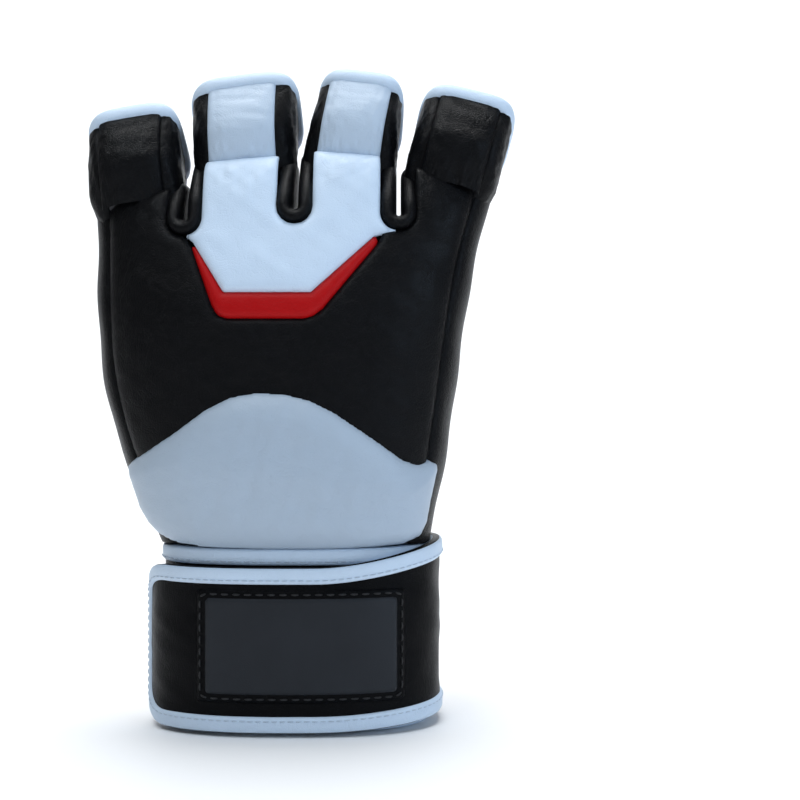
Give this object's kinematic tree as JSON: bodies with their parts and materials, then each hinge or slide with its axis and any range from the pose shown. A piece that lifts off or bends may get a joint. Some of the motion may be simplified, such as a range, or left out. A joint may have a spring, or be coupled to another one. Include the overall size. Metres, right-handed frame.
{
  "type": "open-finger grappling glove",
  "caption": "Left-hand open-finger grappling glove with a padded back, mesh palm with a grip roll, bound thumb loop and a wrap-round wrist strap.",
  "frame": {"origin": "middle of the bounding box at the floor that the cuff stands on", "axes": "+Z from the cuff to the fingertips, -Y out of the back of the hand, +X towards the thumb side"},
  "size_m": [0.15, 0.0859, 0.2289],
  "materials": {
    "foam": "closed-cell padding foam, under the leather",
    "spacer_mesh": "pale grey spacer mesh with diamond holes",
    "white_leather": "smooth white synthetic leather",
    "red_leather": "smooth red synthetic leather",
    "white_binding": "folded white synthetic leather, stitched",
    "lining": "black knit lining",
    "fastener": "black hook and loop fastener",
    "stretch_knit": "black stretch knit",
    "dark_panel": "plain dark grey moulded panel",
    "black_leather": "black synthetic leather with a fine grain"
  },
  "bodies": {
    "hand": {"knuckle_panel": "white_leather", "knuckle_trim": "red_leather", "back_panel": "black_leather", "back_foam": "foam", "wrist_pad_cover": "white_leather", "wrist_pad_foam": "foam", "little_side_gusset": "black_leather", "thumb_side_gusset": "black_leather", "little_ring_slot_gusset": "black_leather", "ring_middle_slot_gusset": "black_leather", "middle_index_slot_gusset": "black_leather", "palm_mesh": "spacer_mesh", "palm_band": "black_leather", "finger_root_mesh": "spacer_mesh", "grip_roll": "black_leather", "hand_lining": "lining", "thumb_sleeve": "stretch_knit", "cuff_band": "black_leather", "cuff_foot_binding": "white_binding", "cuff_head_binding": "white_binding", "loop_patch": "fastener"},
    "little_finger": {"little_pad_foam": "foam", "little_pad_cover": "black_leather", "little_gusset": "black_leather", "little_mesh": "spacer_mesh", "little_binding": "white_binding"},
    "ring_finger": {"ring_pad_foam": "foam", "ring_pad_cover": "white_leather", "ring_gusset": "black_leather", "ring_mesh": "spacer_mesh", "ring_binding": "white_binding"},
    "middle_finger": {"middle_pad_foam": "foam", "middle_pad_cover": "white_leather", "middle_gusset": "black_leather", "middle_mesh": "spacer_mesh", "middle_binding": "white_binding"},
    "index_finger": {"index_pad_foam": "foam", "index_pad_cover": "black_leather", "index_gusset": "black_leather", "index_mesh": "spacer_mesh", "index_binding": "white_binding"},
    "thumb_loop": {"thumb_ring": "white_binding"},
    "strap": {"strap_band": "black_leather", "strap_binding": "white_binding", "hook_patch": "fastener", "name_patch": "dark_panel"}
  },
  "joints": [
    {"name": "little_flex", "type": "hinge", "parent": "hand", "child": "little_finger", "pos_m": [-0.0576, -0.02099, 0.1815], "axis": [-0.9903, 0, -0.1392], "range_deg": [0, 30], "stiffness_Nm_per_rad": 0.15, "deforming": ["little_gusset", "little_mesh"]},
    {"name": "ring_flex", "type": "hinge", "parent": "hand", "child": "ring_finger", "pos_m": [-0.0201, -0.01663, 0.1935], "axis": [-0.9962, 0, -0.0872], "range_deg": [0, 30], "stiffness_Nm_per_rad": 0.15, "deforming": ["ring_gusset", "ring_mesh"]},
    {"name": "middle_flex", "type": "hinge", "parent": "hand", "child": "middle_finger", "pos_m": [0.0164, -0.0159, 0.1955], "axis": [-0.9976, 0, 0.0698], "range_deg": [0, 30], "stiffness_Nm_per_rad": 0.15, "deforming": ["middle_gusset", "middle_mesh"]},
    {"name": "index_flex", "type": "hinge", "parent": "hand", "child": "index_finger", "pos_m": [0.0521, -0.01845, 0.1885], "axis": [-0.9744, 0, 0.225], "range_deg": [0, 30], "stiffness_Nm_per_rad": 0.15, "deforming": ["index_gusset", "index_mesh"]},
    {"name": "thumb_swing", "type": "hinge", "parent": "hand", "child": "thumb_loop", "pos_m": [0.0224, 0.01205, 0.118], "axis": [0, 0, 1], "range_deg": [-15, 20], "stiffness_Nm_per_rad": 0.05, "deforming": ["thumb_sleeve"]},
    {"name": "strap_open", "type": "hinge", "parent": "hand", "child": "strap", "pos_m": [0.0349, 0.01905, 0.0295], "axis": [0, 0, 1], "range_deg": [0, 120]}
  ]
}
